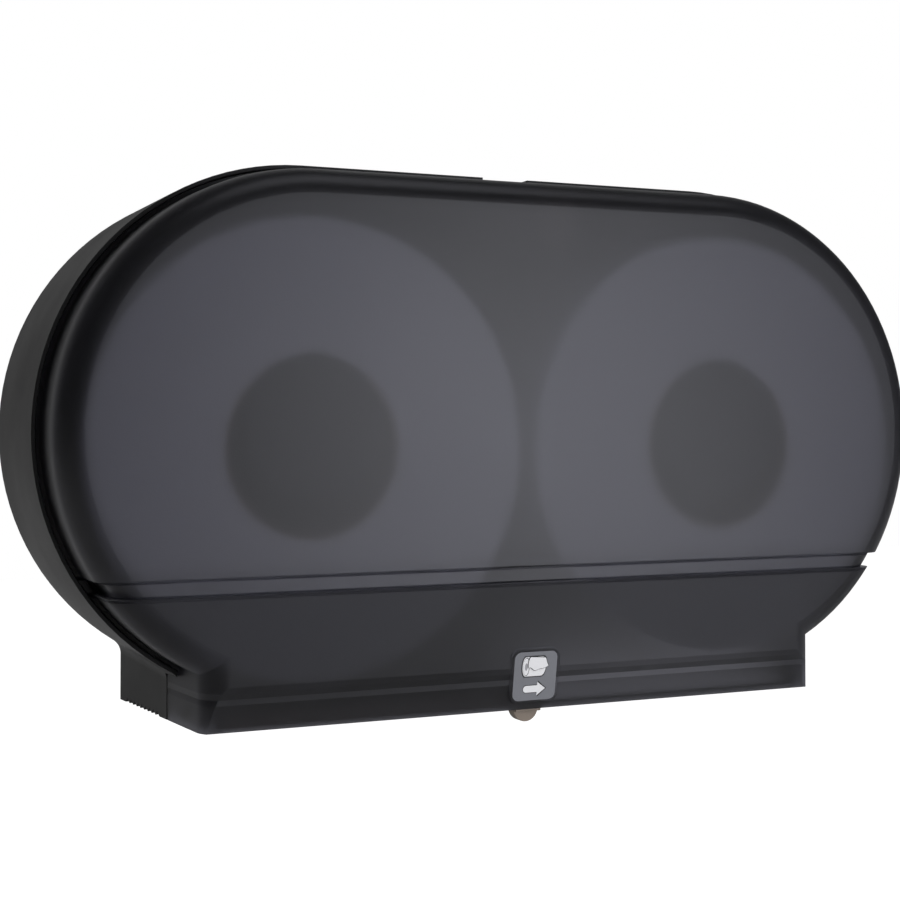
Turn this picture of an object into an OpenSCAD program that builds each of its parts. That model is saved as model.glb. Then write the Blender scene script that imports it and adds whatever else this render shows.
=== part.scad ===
// Twin jumbo toilet roll dispenser for a wall, with its smoked cover shut and two rolls inside.
// X runs along the wall, Y points into the wall and Z is up. The origin lies on the wall, at the
// centre of the four wall screws and level with the two spindles. The case is sized round its rolls.

/* [Rolls] */
// Outer diameter of the paper
paper_d = 222; // [200:1:240]
// Width of the paper
paper_w = 90; // [80:1:100]
// Inner diameter of the cardboard core
core_inner_d = 85; // [80:0.5:90]
// Wall of the cardboard core
core_t = 1.6; // [1:0.1:2.5]
// Free space between the two rolls
roll_gap = 9; // [6:0.5:12]
// Free space over the rolls
room_over = 21.4; // [18:0.1:26]
// Free space under the rolls, in the round ends
room_under = 5.6; // [5.2:0.1:10]
// Free space beside the rolls, in the round ends
room_beside = 11.2; // [10:0.1:16]
// Distance from the wall to the paper
behind_paper = 21.5; // [20:0.5:28]
// Distance from the paper to the cover's face
before_paper = 10.5; // [10:0.5:14]

/* [Spindles] */
// Outer diameter of the spindle
spindle_d = 64; // [58:0.5:70]
// Wall of the spindle
spindle_t = 3; // [2:0.1:4]
// Width of the flange round its foot
flange_w = 10; // [9.5:0.5:14]
// Height of the cap's lip over the spindle
cap_lip = 3; // [2:0.5:4]

/* [Back shell] */
// How far the rim stands out round the cover
rim_step = 4.4; // [4:0.1:5.5]
// How much smaller the outline of the round ends is at the wall
wall_draft = 1.8; // [0.6:0.1:2.2]
// Distance from the rim to the cover's face
rim_to_face = 33; // [30:0.5:36]
// Height of the foot under the rolls
exit_room = 20.8; // [19.8:0.1:26]
// How far the cover's foot lies inside its round ends
foot_set_in = 69.1; // [64:0.1:76]
// How much wider the foot is at the wall than at the cover's face, on each side
foot_flare = 8.6; // [6:0.1:10]
// Depth at which the shell's foot ends and the cover's begins
seam_depth = 70; // [64:0.5:74]
// Width of the seam between them
seam_w = 1; // [1:0.1:1.6]
// Radius where the shell's round ends run into its foot
corner_round = 8.5; // [4:0.5:10]
// Thickness of the side walls
shell_t = 2.8; // [2.4:0.1:3.2]
// Thickness of the back plate
plate_t = 3; // [2.5:0.1:4]
// Thickness of the lip that surrounds the cover
lip_t = 1.8; // [1.4:0.1:2]
// Depth of the rebate behind the lip
lip_depth = 9; // [8:0.5:12]
// Height of the ribs on the back plate
rib_h = 6; // [3:0.5:8]
// Thickness of the ribs
rib_t = 2; // [1.5:0.1:3]
// Pitch of the teeth under the foot's side walls
side_tooth_pitch = 5.6; // [4.4:0.1:8]
// Depth of those teeth
side_tooth_depth = 2.4; // [1:0.1:4]

/* [Wall screws] */
// Distance between the screws along the wall
screw_span_x = 120; // [108:1:132]
// Distance between the screws up the wall
screw_span_z = 150; // [135:1:170]
// Diameter of the screw holes
screw_hole_d = 6; // [4:0.1:7]

/* [Cover] */
// Wall thickness
cover_t = 2.4; // [2:0.1:2.8]
// Radius of the rounded edge of the face
face_round = 13; // [10:0.5:15]
// How far the cover reaches back inside the rim
cover_nest = 4; // [3:0.5:5]
// Drop of the belt groove's top edge below the spindles
groove_drop = 70.2; // [60:0.2:80]
// Height of the groove
groove_h = 8; // [5:0.5:10]
// Depth of the groove
groove_depth = 3.4; // [2:0.1:3.8]
// Height of the tilted strip under the crease
strip_h = 21.5; // [18:0.5:25]
// How far the strip leans back at its lower edge
strip_lean = 5; // [4:0.1:5.5]

/* [Sliding door] */
// Width of the finger tab
tab_w = 14; // [10:0.5:18]
// Drop of the finger tab below the foot
tab_drop = 7.5; // [5:0.5:8.5]
// Free width of an exit beside the open door
exit_w = 152; // [140:1:154]
// Pitch of the tear teeth on the front rail
tear_pitch = 2.2; // [1.8:0.1:4]
// Depth of the tear teeth
tear_depth = 1.2; // [0.6:0.1:1.5]

/* [Latch] */
// Place of the latch along the wall
latch_x = 22; // [20:0.5:30]
// Width of the latch at its top
latch_w = 20; // [18:0.5:24]
// Width of the latch at its foot
latch_tip_w = 14; // [12:0.5:18]
// Height of the latch under the strike
latch_h = 22; // [19:0.5:26]
// Travel of the latch
latch_travel = 5.5; // [4.5:0.1:6]
// Width of the key notch in the rim
notch_w = 26; // [20:1:30]

/* [Hinge] */
// Diameter of the hinge pins
pin_d = 5; // [4:0.1:5.5]

/* [Label] */
// Width of the instruction label
label_w = 24; // [20:0.5:30]
// Height of the instruction label
label_h = 25; // [20:0.5:27]

/* [Fits] */
// Radial clearance of a pin that turns in its bore
running = 0.05; // [0.02:0.01:0.1]
// Gap between parts that slide or rest on each other
gap = 0.3; // [0.2:0.05:0.4]
// Radial clearance of a screw in its hole
screw_gap = 0.05; // [0.02:0.01:0.1]

/* [Hidden] */
$fn = 128;
slack = 1;                                   // a cutter's overrun

// the rolls hang from their cores, so they sit lower than the spindles
core_r = core_inner_d / 2;
spindle_r = spindle_d / 2;
roll_z = -(core_r - spindle_r - gap);

roll_x = (paper_d + roll_gap) / 2;            // the rolls' axes, left and right

// outline radius of the round ends: of the cover, of the shell's rim and of the shell at the wall
cover_r = (paper_d + room_over + room_under) / 2 + cover_t;
rim_r = cover_r + rim_step;
wall_r = rim_r - wall_draft;
lobe_x = roll_x + paper_d / 2 + room_beside + cover_t - cover_r;    // their centres
lobe_z = roll_z + (room_over - room_under) / 2;
foot_z = -(paper_d / 2 - roll_z + exit_room);
foot_join_z = lobe_z - cover_r / 2;           // the foot's walls end here, inside the round ends

// depths from the wall
paper_front = behind_paper + paper_w;
total_depth = paper_front + before_paper;
back_depth = total_depth - rim_to_face;
cover_back = back_depth - cover_nest;

cover_foot = lobe_x + cover_r - foot_set_in;  // the foot's half width at the cover's face
foot_wall = cover_foot + foot_flare;          // and at the wall

shell_black = "#1c1c1e";
smoke = "#3a3c42";
beige = "#a59a8c";
steel = "#b8bbbf";
cardboard = "#9a7b5c";
white_paper = "#f2f2ef";

// places the outline drawn in X and Z between two depths from the wall
module upright(near, far) {
    translate([0, -near, 0]) rotate([90, 0, 0]) linear_extrude(far - near) children();
}

// draws the outline given in Y and Z along X, from one X to another
module along_x(from, to) {
    translate([from, 0, 0]) rotate([90, 0, 90]) linear_extrude(to - from) children();
}

// a block between two depths, two X values and two heights
module block(x0, x1, near, far, z0, z1) {
    translate([x0, -far, z0]) cube([x1 - x0, far - near, z1 - z0]);
}

module both_sides() {
    children();
    mirror([1, 0, 0]) children();
}

// a rod along Y between two depths
module rod_y(r, near, far) {
    translate([0, -near, 0]) rotate([90, 0, 0]) cylinder(r = r, h = far - near);
}

// a rod along X between two places
module rod_x(r, from, to) {
    translate([from, 0, 0]) rotate([0, 90, 0]) cylinder(r = r, h = to - from);
}

module rounded(w, h, r) {
    square([w - 2 * r, h], center = true);
    square([w, h - 2 * r], center = true);
    for (x = [-1, 1], z = [-1, 1])
        translate([x * (w / 2 - r), z * (h / 2 - r)]) circle(r);
}

// ---- back shell ----

// outline radius at a depth from the wall
function shell_r(depth) = wall_r + (rim_r - wall_r) * depth / back_depth;
function foot_half(depth) = foot_wall - foot_flare * depth / total_depth;
foot_rim = foot_half(back_depth);

// a solid with two round ends that widens from the wall to the rim
module lobed(inset, near, far) {
    r0 = shell_r(near) - inset;
    r1 = shell_r(far) - inset;
    both_sides() translate([lobe_x, -near, lobe_z]) rotate([90, 0, 0])
        cylinder(r1 = r0, r2 = r1, h = far - near);
    along_x(-lobe_x, lobe_x) translate([0, lobe_z])
        polygon([[-near, -r0], [-near, r0], [-far, r1], [-far, -r1]]);
}

module foot_block(inset, near, far, low) {
    w0 = foot_half(near) - inset;
    w1 = foot_half(far) - inset;
    translate([0, 0, low]) linear_extrude(foot_join_z - low)
        polygon([[-w0, -near], [w0, -near], [w1, -far], [-w1, -far]]);
}

// fills the corner between a round end and the foot's side, as far as a radius that touches both
function corner_x(depth) = foot_half(depth) + corner_round;
function corner_z(depth) = lobe_z
    - sqrt(pow(shell_r(depth) + corner_round, 2) - pow(corner_x(depth) - lobe_x, 2));
function corner_end(depth) = lobe_x + shell_r(depth) * (corner_x(depth) - lobe_x)
    / (shell_r(depth) + corner_round);
module shell_corner() {
    low = [corner_x(0), 0, corner_z(0)];
    way = [corner_x(back_depth), -back_depth, corner_z(back_depth)] - low;
    difference() {
        intersection() {
            along_x(foot_rim - shell_t / 2, foot_wall + corner_round)
                polygon([[0, corner_z(0)], [-back_depth, corner_z(back_depth)],
                    [-back_depth, foot_join_z], [0, foot_join_z]]);
            translate([0, 0, foot_z]) linear_extrude(foot_join_z - foot_z)
                polygon([[foot_rim - shell_t, 0], [corner_end(0), 0],
                    [corner_end(back_depth), -back_depth], [foot_rim - shell_t, -back_depth]]);
        }
        translate(low - way * 0.05) rotate([0, acos(way[2] / norm(way)), atan2(way[1], way[0])])
            cylinder(r = corner_round, h = norm(way) * 1.1);
    }
}

// the teeth under one side wall of the foot, as the outline of a cutter in Y and Z
side_tooth_margin = 9;
side_teeth = floor((seam_depth - 2 * side_tooth_margin) / side_tooth_pitch);
module side_tooth_outline() {
    start = side_tooth_margin;
    polygon(concat(
        [[-start, foot_z - slack], [-start, foot_z]],
        [for (i = [0 : side_teeth - 1], p = [[0.5, side_tooth_depth], [1, 0]])
            [-start - (i + p[0]) * side_tooth_pitch, foot_z + p[1]]],
        [[-start - side_teeth * side_tooth_pitch, foot_z - slack]]));
}

flange_r = spindle_r + flange_w;
flange_t = 3;
spindle_screw_r = spindle_r + flange_w / 2;
ring_gap = 10;
spindle_ring_r = flange_r + ring_gap;
boss_r = 8;
screw_boss_h = 4;
module plate_ribs() {
    floor_in = plate_t - slack;
    top = plate_t + rib_h;
    intersection() {
        lobed(shell_t - slack / 2, plate_t - slack, top);
        union() {
            for (x = [-roll_x, -screw_span_x / 2, 0, screw_span_x / 2, roll_x])
                block(x - rib_t / 2, x + rib_t / 2, floor_in, top,
                    foot_z + upstand_h + gap, rim_r);
            for (z = [-screw_span_z / 2, 0, screw_span_z / 2])
                block(-lobe_x - rim_r, lobe_x + rim_r, floor_in, top, z - rib_t / 2, z + rib_t / 2);
        }
    }
    both_sides() translate([roll_x, 0, 0]) difference() {
        rod_y(spindle_ring_r + rib_t, floor_in, top);
        rod_y(spindle_ring_r, floor_in - slack, top + slack);
    }
}

small_screw_r = 1.8;
small_head_r = 3.4;
small_head_h = 2.2;
function spindle_screw_spots() = [for (a = [90, 210, 330])
    [spindle_screw_r * cos(a), spindle_screw_r * sin(a)]];

latch_boss_r = 4.5;
latch_boss_behind = 27;                       // how far the bosses lie behind the rim
latch_boss_depth = back_depth - latch_boss_behind;
latch_boss_drop = 6;
latch_boss_z = lobe_z + shell_r(latch_boss_depth - latch_boss_r) - shell_t - latch_boss_drop;
latch_boss_pitch = 16;
latch_boss_spots = [for (s = [-1, 1]) latch_x + 1 + s * latch_boss_pitch / 2];

frame_boss_rise = 10;
frame_boss_z = foot_z + frame_boss_rise;
screw_floor = 0.8;                            // what is left of the back plate behind a blind hole

notch_depth = 10;
module back_shell() {
    color(shell_black) difference() {
        union() {
            difference() {
                union() {
                    lobed(0, 0, back_depth);
                    foot_block(0, 0, back_depth, foot_z);
                    both_sides() shell_corner();
                }
                lobed(shell_t, plate_t, back_depth + slack);
                lobed(lip_t, back_depth - lip_depth, back_depth + slack);
                foot_block(shell_t, plate_t, back_depth + slack, foot_z - slack);
                both_sides() along_x(foot_rim - 2 * shell_t, foot_wall + slack)
                    side_tooth_outline();
            }
            difference() {
                plate_ribs();
                both_sides() translate([roll_x, 0, 0])
                    rod_y(spindle_ring_r, plate_t, plate_t + rib_h + slack);
            }
            for (x = [-1, 1], z = [-1, 1])
                translate([x * screw_span_x / 2, 0, z * screw_span_z / 2])
                    rod_y(boss_r, plate_t - slack, plate_t + screw_boss_h);
            for (x = latch_boss_spots)
                translate([x, -latch_boss_depth, latch_boss_z])
                    cylinder(r = latch_boss_r, h = latch_boss_drop + slack);
        }
        for (x = [-1, 1], z = [-1, 1])
            translate([x * screw_span_x / 2, 0, z * screw_span_z / 2]) {
                rod_y(screw_hole_d / 2, -slack, plate_t + rib_h + slack);
                rod_y(boss_r, plate_t + screw_boss_h, plate_t + rib_h + slack);
            }
        both_sides() translate([roll_x, 0, 0]) for (p = spindle_screw_spots())
            translate([p[0], 0, p[1]]) rod_y(small_screw_r + screw_gap, screw_floor, plate_t + slack);
        for (x = frame_screw_x) translate([x, 0, frame_boss_z])
            rod_y(small_screw_r + screw_gap, screw_floor, plate_t + slack);
        for (x = latch_boss_spots)
            translate([x, -latch_boss_depth, latch_boss_z - slack])
                cylinder(r = small_screw_r + screw_gap, h = latch_boss_drop + slack);
        block(-notch_w / 2, notch_w / 2, back_depth - notch_depth, back_depth + slack,
            cover_top - cover_t - slack, lobe_z + rim_r + slack);
        // the foot's side walls give way to the cover's skirts, with room for their swing
        both_sides() {
            block(foot_rim - 2 * shell_t, foot_wall, seam_depth, back_depth + slack,
                foot_z - slack, skirt_top + gap);
            intersection() {
                block(foot_rim - 2 * shell_t, foot_half(seam_depth) + gap,
                    seam_depth, back_depth + slack, skirt_top, foot_join_z);
                translate([0, -hinge_depth, hinge_z])
                    rod_x(skirt_swing, foot_rim - 3 * shell_t, foot_wall);
            }
        }
    }
}

// ---- cover ----

groove_top = -groove_drop;
groove_low = groove_top - groove_h;
cover_top = lobe_z + cover_r;
crease_z = foot_z + strip_h;
hinge_boss_r = pin_d / 2 + 2.5;
hinge_z = foot_z + hinge_boss_r;
hinge_set_in = 1;                             // from the cover's back edge to the hinge bosses
hinge_depth = cover_back + hinge_set_in + hinge_boss_r;

// section of the cover's edge in depth and height, rounded at both ends of the face
module cover_section(r, front, round, back) {
    translate([-front, -(r - round)]) square([front - back, 2 * (r - round)]);
    translate([-(front - round), -r]) square([front - round - back, 2 * r]);
    for (s = [-1, 1]) translate([-(front - round), s * (r - round)]) circle(round);
}

// outline of the cover's foot in X and Y: its drafted sides run into the rounded edge of the face,
// which stands proud of them by a hair
flare_angle = atan(foot_flare / total_depth);
edge_proud = 0.02;
module foot_outline(inset, front, round, back) {
    edge_x = foot_half(front - round) - (round + inset) / cos(flare_angle);
    reach = round - edge_proud;
    touch = [edge_x + reach * cos(flare_angle), -(front - round) - reach * sin(flare_angle)];
    rear = foot_half(back) - (inset + edge_proud) / cos(flare_angle);
    translate([-edge_x, -front]) square([2 * edge_x, front - back]);
    polygon([[-rear, -back], [rear, -back], touch, [-touch[0], touch[1]]]);
    for (s = [-1, 1]) translate([s * edge_x, -(front - round)]) circle(round);
}

// the cover's outer form, drawn in by inset all round, from a depth to its face
module cover_form(inset, back, low) {
    r = cover_r - inset;
    front = total_depth - inset;
    round = face_round - inset;
    difference() {
        union() {
            both_sides() translate([lobe_x, 0, lobe_z]) rotate([90, 0, 0]) rotate_extrude()
                intersection() {
                    rotate(-90) mirror([0, 1]) cover_section(r, front, round, back);
                    square([r + slack, front + slack]);
                }
            along_x(-lobe_x, lobe_x) translate([0, lobe_z]) cover_section(r, front, round, back);
            translate([0, 0, low]) linear_extrude(foot_join_z - low)
                foot_outline(inset, front, round, back);
        }
        along_x(-lobe_x - cover_r, lobe_x + cover_r) polygon([
            [-front, crease_z], [-front - slack, crease_z],
            [-front - slack, low - slack],
            [-front + strip_lean * (crease_z - low + slack) / (crease_z - foot_z), low - slack]]);
    }
}

module belt(low, high) {
    translate([-lobe_x - rim_r, -total_depth - slack, low])
        cube([2 * (lobe_x + rim_r), total_depth, high - low]);
}

// the outer form with the belt groove let into it
module grooved_form(inset, back, low) {
    difference() {
        cover_form(inset, back, low);
        belt(groove_low - inset, groove_top + inset);
    }
    intersection() {
        cover_form(inset + groove_depth, back, low);
        belt(groove_low - inset - slack, groove_top + inset + slack);
    }
}

// the narrow outward edge that nearly fills the gap behind the lip
edge_gap = 0.6;
edge_out = rim_step - lip_t - edge_gap;
edge_t = 1.5;
module cover_edge() {
    difference() {
        intersection() {
            union() {
                both_sides() translate([lobe_x, 0, lobe_z])
                    rod_y(cover_r + edge_out, cover_back, cover_back + edge_t);
                block(-lobe_x, lobe_x, cover_back, cover_back + edge_t,
                    lobe_z - cover_r - edge_out, cover_top + edge_out);
            }
            union() {
                block(-lobe_x - rim_r, lobe_x + rim_r, 0, total_depth, foot_join_z, rim_r);
                both_sides() block(foot_half(cover_back) - cover_t / 2, lobe_x + rim_r,
                    0, total_depth, skirt_top, foot_join_z);
            }
        }
        both_sides() translate([lobe_x, 0, lobe_z]) rod_y(cover_r - cover_t / 2, 0, total_depth);
        block(-lobe_x, lobe_x, 0, total_depth, lobe_z - cover_r + cover_t / 2,
            cover_top - cover_t / 2);
    }
}

// the skirts of the cover's foot reach back to the seam, and swing past the shell as it opens
skirt_top = lobe_z - sqrt(pow(rim_r, 2) - pow(foot_rim - lobe_x, 2)) - 2 * gap;
skirt_back = seam_depth + seam_w;
skirt_swing = norm([hinge_depth - skirt_back, skirt_top - hinge_z]) + gap;
skirt_in = 0.05;                              // they stand in from the cover's side by a hair
module cover_skirt() {
    wall = cover_t / cos(flare_angle);
    far = cover_back + slack;
    translate([-skirt_in, 0, foot_z]) linear_extrude(skirt_top - foot_z) polygon([
        [foot_half(skirt_back) - wall, -skirt_back], [foot_half(skirt_back), -skirt_back],
        [foot_half(far), -far], [foot_half(far) - wall, -far]]);
}

label_drop = 4.4;                             // from the crease to the label's middle
label_z = crease_z - label_drop;
label_tilt = 9;
label_border = 1.6;
label_t = 0.6;
label_pad_out = 0.3;                          // how far the pad stands over the crease
pad_w = label_w + 2 * label_border;
pad_h = label_h + 2 * label_border;

// turns a drawing in the label's plane to the cover's face, over the crease
module on_label_plane() {
    translate([0, -(total_depth + label_pad_out) + label_drop * tan(label_tilt), label_z])
        rotate([90 + label_tilt, 0, 0]) children();
}

strike_t = 3;
strike_w = 16;
strike_h = 6.2;
strike_root = 5;                              // how far its root spreads to each side
strike_near = cover_back + 8;
strike_far = strike_near + strike_t;
strike_low = cover_top - cover_t - strike_h;
hinge_boss_in = 3;
hinge_bore_end = foot_half(hinge_depth) - cover_t / 2;
module front_cover() {
    color(smoke, 0.75) difference() {
        union() {
            difference() {
                grooved_form(0, cover_back, foot_z);
                difference() {
                    grooved_form(cover_t, cover_back - slack, foot_z - slack);
                    // the strike that the latch holds, wider at its root
                    upright(strike_near, strike_far) polygon([
                        [latch_x - strike_w / 2, strike_low], [latch_x + strike_w / 2, strike_low],
                        [latch_x + strike_w / 2, strike_low + strike_h / 2],
                        [latch_x + strike_w / 2 + strike_root, cover_top],
                        [latch_x - strike_w / 2 - strike_root, cover_top],
                        [latch_x - strike_w / 2, strike_low + strike_h / 2]]);
                }
            }
            cover_edge();
            both_sides() {
                cover_skirt();
                translate([0, -hinge_depth, hinge_z])
                    rod_x(hinge_boss_r, frame_out + side_bar_gap, hinge_bore_end);
            }
            on_label_plane() translate([0, 0, -3.2]) linear_extrude(3.2) rounded(pad_w, pad_h, 5);
        }
        on_label_plane() translate([0, 0, -label_t]) linear_extrude(label_t + slack)
            rounded(label_w + 0.2, label_h + 0.2, 3.6);
        both_sides() translate([0, -hinge_depth, hinge_z])
            rod_x(pin_d / 2 + running, frame_out, hinge_bore_end);
        block(-notch_w / 2, notch_w / 2, cover_back - slack, back_depth + 2,
            cover_top - cover_t - slack, lobe_z + rim_r);
    }
}

module instruction_label() {
    color("#8d9095") on_label_plane() translate([0, 0, -label_t]) linear_extrude(label_t)
        rounded(label_w, label_h, 3.5);
}

// ---- exit frame, its screws and the hinge pins ----

side_bar_gap = 1;
side_bar_t = 4.6;
frame_out = cover_foot - cover_t - hinge_boss_in - side_bar_gap;
frame_in = frame_out - side_bar_t;
rail_t = 2.6;
rail_low = foot_z;
rail_top = rail_low + rail_t;
side_bar_top = rail_top + 5.6;
frame_back = plate_t + gap;
upstand_t = 2.4;
upstand_h = 14;
back_rail_depth = frame_back + upstand_t + 10.3;

// the door's front lip runs between the front rail and the cover's strip
lip_room = 1.7;
lip_w = 1.6;
lip_front = total_depth - strip_lean - cover_t - lip_room;
door_front = lip_front - lip_w;
front_rail_w = 2;
front_rail = [door_front - gap - front_rail_w, door_front - gap];
door_rear = back_rail_depth - 1 - gap;

frame_rib_x = [for (share = [-0.625, 0, 0.625]) share * frame_in];
frame_screw_x = [for (share = [-0.75, -0.28, 0.28, 0.75]) share * frame_in];
frame_rib_t = 2;
pin_head_r = pin_d / 2 + 1.5;
pin_head_t = 1.5;
pin_sink = 0.2;                               // the pin's head lies below the side bar's face

module tear_outline() {
    x0 = tab_w / 2 + 2;
    teeth = floor((frame_in - x0) / tear_pitch);
    polygon(concat(
        [[x0, rail_low - slack], [x0, rail_low]],
        [for (i = [0 : teeth - 1], p = [[0.5, tear_depth], [1, 0]])
            [x0 + (i + p[0]) * (frame_in - x0) / teeth, rail_low + p[1]]],
        [[frame_in, rail_low - slack]]));
}

module exit_frame() {
    color(shell_black) difference() {
        union() {
            block(-frame_out, frame_out, frame_back, back_rail_depth, rail_low, rail_top);
            block(-frame_out, frame_out, frame_back, frame_back + upstand_t,
                rail_low, foot_z + upstand_h);
            block(-frame_out, frame_out, front_rail[0], front_rail[1], rail_low, rail_top);
            both_sides() {
                block(frame_in, frame_out, frame_back, front_rail[1], rail_low, side_bar_top);
                translate([0, -hinge_depth, hinge_z]) rod_x(hinge_boss_r, frame_in, frame_out);
            }
            // gussets that hold the upstand square to the rail
            for (x = frame_rib_x) along_x(x - frame_rib_t / 2, x + frame_rib_t / 2)
                polygon([[-frame_back - upstand_t / 2, rail_top - slack],
                    [-door_rear + gap, rail_top - slack], [-door_rear + gap, rail_top],
                    [-frame_back - upstand_t / 2, foot_z + upstand_h]]);
        }
        both_sides() upright(front_rail[0] - slack, front_rail[1] + slack) tear_outline();
        both_sides() translate([0, -hinge_depth, hinge_z]) {
            rod_x(pin_d / 2 + running, frame_in - slack, frame_out + slack);
            rod_x(pin_head_r + 2 * running, frame_in - slack, frame_in + pin_sink + pin_head_t);
        }
        for (x = frame_screw_x) translate([x, 0, frame_boss_z])
            rod_y(small_screw_r + screw_gap, 0, back_rail_depth);
    }
}

// a pan-head screw along Y, its head at the given depth
module screw_y(tip, seat) {
    rod_y(small_screw_r, tip, seat + 0.5);
    difference() {
        rod_y(small_head_r, seat, seat + small_head_h);
        for (a = [0, 90]) rotate([0, a, 0])
            block(-2, 2, seat + small_head_h - 1, seat + small_head_h + slack, -0.5, 0.5);
    }
}

module frame_screws() {
    color(steel) for (x = frame_screw_x) translate([x, 0, frame_boss_z])
        screw_y(screw_floor + 0.2, frame_back + upstand_t);
}

module hinge_pin() {
    color(steel) translate([0, -hinge_depth, hinge_z]) {
        rod_x(pin_d / 2, frame_in + pin_sink, hinge_bore_end - gap);
        rod_x(pin_head_r, frame_in + pin_sink, frame_in + pin_sink + pin_head_t);
    }
}

// ---- sliding door ----

door_t = 2;
door_low = rail_top + gap;
door_travel = exit_w;
door_left = -frame_in + gap;
door_right = frame_in - gap - door_travel;
door_rib_t = 2;
door_rib_from = 30;                           // depth at which the ribs across the plate start
lip_rise = 5.4;
lip_low = rail_low + 0.8;
hook_t = 1.6;                                 // the strip behind the front rail
tab_t = 5.6;
module slide_door() {
    tab_x = door_right - tab_w / 2;
    tab_low = foot_z - tab_drop;
    tab_back = front_rail[0] - 2 - tab_t / 2;
    rib_step = (door_right - door_left - 2 * tab_w) / 3;
    color(beige) {
        block(door_left, door_right, door_rear, lip_front, door_low, door_low + door_t);
        block(door_left, door_right, door_front, lip_front, lip_low, door_low + lip_rise);
        block(door_left, door_right, front_rail[0] - gap - hook_t, front_rail[0] - gap,
            lip_low, door_low + door_t / 2);
        for (i = [0 : 3]) {
            x = door_left + tab_w + i * rib_step;
            block(x, x + door_rib_t, door_rib_from, door_front + lip_w / 2,
                door_low + door_t / 2, door_low + lip_rise);
        }
        // the finger tab hangs under the front rail, out of the opening cover's way
        upright(tab_back, tab_back + tab_t) tab_outline(tab_x, tab_low, rail_low - gap);
        block(tab_x - tab_w / 2, tab_x + tab_w / 2, tab_back, lip_front,
            rail_low - gap - hook_t, rail_low - gap);
        block(tab_x - tab_w / 2, tab_x + tab_w / 2, door_front, lip_front,
            rail_low - gap - hook_t, lip_low + 0.2);
    }
}

// a tongue in X and Z with a round end
module tab_outline(x, low, high) {
    translate([x, low]) intersection() {
        union() {
            translate([-tab_w / 2, tab_w / 2]) square([tab_w, high - low]);
            translate([0, tab_w / 2]) circle(tab_w / 2);
        }
        translate([-tab_w / 2, 0]) square([tab_w, high - low]);
    }
}

// ---- spindles ----

paper_end_gap = 0.4;                          // between the roll's end and the cap
spindle_front = paper_front + paper_end_gap;
cap_t = 3;
cap_plug = 6;
web_h = 12;

module spindle() {
    inner_r = spindle_r - spindle_t;
    difference() {
        union() {
            rod_y(flange_r, plate_t, plate_t + flange_t);
            rod_y(spindle_r, plate_t, spindle_front);
            // webs between the flange and the tube
            for (a = [30 : 60 : 330]) rotate([0, a, 0]) along_x(-1.25, 1.25)
                polygon([[-plate_t, spindle_r - 1], [-plate_t, flange_r - 0.5],
                    [-plate_t - flange_t, flange_r - 0.5],
                    [-plate_t - flange_t - web_h, spindle_r - 1]]);
        }
        rod_y(inner_r, plate_t + flange_t, spindle_front + slack);
        for (p = spindle_screw_spots()) translate([p[0], 0, p[1]])
            rod_y(small_screw_r + screw_gap, 0, plate_t + flange_t + slack);
    }
    // cross webs inside the tube, held back from the cap
    intersection() {
        rod_y(inner_r + 0.5, plate_t + 1, spindle_front - cap_plug - 2);
        for (a = [0, 60, 120]) rotate([0, a, 0])
            block(-1, 1, plate_t, spindle_front, -spindle_r, spindle_r);
    }
}

module spindle_cap() {
    plug_r = spindle_r - spindle_t - 0.1;
    difference() {
        union() {
            rod_y(spindle_r + cap_lip - 1, spindle_front, spindle_front + cap_t);
            rod_y(spindle_r + cap_lip, spindle_front + 0.6, spindle_front + cap_t - 0.8);
            rod_y(plug_r, spindle_front - cap_plug, spindle_front + 1);
        }
        rod_y(plug_r - 2, spindle_front - cap_plug - slack, spindle_front + 1);
        // a shallow dish in the face
        rod_y(spindle_r - 8, spindle_front + cap_t - 0.8, spindle_front + cap_t + slack);
    }
}

module spindle_screws() {
    for (p = spindle_screw_spots()) translate([p[0], 0, p[1]])
        screw_y(screw_floor + 0.2, plate_t + flange_t);
}

module left() translate([-roll_x, 0, 0]) children();
module right() translate([roll_x, 0, 0]) children();

// ---- rolls ----

module roll_core() {
    color(cardboard) translate([0, 0, roll_z]) difference() {
        rod_y(core_r + core_t, behind_paper, paper_front);
        rod_y(core_r, behind_paper - slack, paper_front + slack);
    }
}

paper_seat = 0.05;
module paper_roll() {
    color(white_paper) translate([0, 0, roll_z]) difference() {
        rod_y(paper_d / 2, behind_paper, paper_front);
        rod_y(core_r + core_t + paper_seat, behind_paper - slack, paper_front + slack);
    }
}

// ---- latch ----

latch_t = 8;
latch_near = strike_near - 0.6;
latch_far = latch_near + latch_t;
latch_low = strike_low - latch_h;
latch_shoulder = latch_low + 10;              // where its sides turn from straight to tapered
latch_floor = latch_low - latch_travel - 0.5;
arm_h = 4;
arm_low = latch_shoulder + 1;
arm_left = -notch_w / 2 + 3;
arm_reach = 12;                               // how far the arm reaches back under the notch
nose_near = strike_far + 0.4;
nose_top = strike_low + latch_travel - 1;
bracket_top = latch_boss_z;
bracket_t = 3;
guide_gap = 0.4;
cheek_t = 2.6;
spring_r = 2.4;
wire_r = 0.4;
spring_pocket_r = 3.1;
spring_top = latch_low + 8;

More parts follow.
